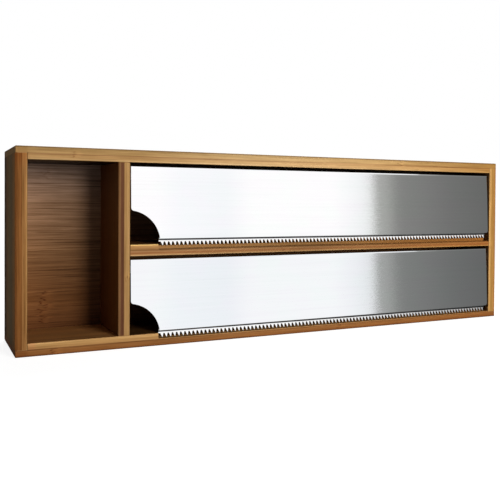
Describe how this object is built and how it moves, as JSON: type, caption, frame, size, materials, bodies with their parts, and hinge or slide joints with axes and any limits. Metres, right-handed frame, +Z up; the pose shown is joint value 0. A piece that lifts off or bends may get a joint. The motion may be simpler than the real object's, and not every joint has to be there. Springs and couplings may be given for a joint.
{
  "type": "cling film dispenser",
  "caption": "Bamboo cling film dispenser with an open side compartment and stacked roll bays, each closed by a hinged steel flap with a toothed cutting edge.",
  "frame": {"origin": "centre of the cabinet's underside", "axes": "+X to the right along the length seen from the front, +Y to the back, +Z up; the front faces -Y"},
  "size_m": [0.393, 0.062, 0.131],
  "materials": {
    "golden_bamboo": "oiled bamboo, pale golden, side-pressed strips",
    "tan_bamboo": "oiled bamboo, light ply over an orange-brown ply",
    "brown_bamboo": "oiled bamboo, darker streaked panel",
    "brushed_steel": "stainless sheet brushed along its length",
    "hinge_screw": "zinc-plated steel",
    "nylon_washer": "natural nylon"
  },
  "bodies": {
    "cabinet": {"top_board": "golden_bamboo", "bottom_board": "tan_bamboo", "left_side": "tan_bamboo", "right_side": "golden_bamboo", "divider": "golden_bamboo", "roll_shelf": "golden_bamboo", "back_panel": "brown_bamboo", "lower_left_hinge_screw": "hinge_screw", "lower_left_washer": "nylon_washer", "lower_right_hinge_screw": "hinge_screw", "lower_right_washer": "nylon_washer", "upper_left_hinge_screw": "hinge_screw", "upper_left_washer": "nylon_washer", "upper_right_hinge_screw": "hinge_screw", "upper_right_washer": "nylon_washer"},
    "upper_flap_door": {"upper_flap": "brushed_steel", "upper_blade": "brushed_steel", "upper_left_hinge_bracket": "brushed_steel", "upper_right_hinge_bracket": "brushed_steel"},
    "lower_flap_door": {"lower_flap": "brushed_steel", "lower_blade": "brushed_steel", "lower_left_hinge_bracket": "brushed_steel", "lower_right_hinge_bracket": "brushed_steel"}
  },
  "joints": [
    {"name": "upper_flap_hinge", "type": "hinge", "parent": "cabinet", "child": "upper_flap_door", "pos_m": [0.03245, -0.02442, 0.11354], "axis": [-1, 0, 0], "range_deg": [0, 110]},
    {"name": "lower_flap_hinge", "type": "hinge", "parent": "cabinet", "child": "lower_flap_door", "pos_m": [0.03245, -0.02442, 0.05154], "axis": [-1, 0, 0], "range_deg": [0, 110]}
  ]
}
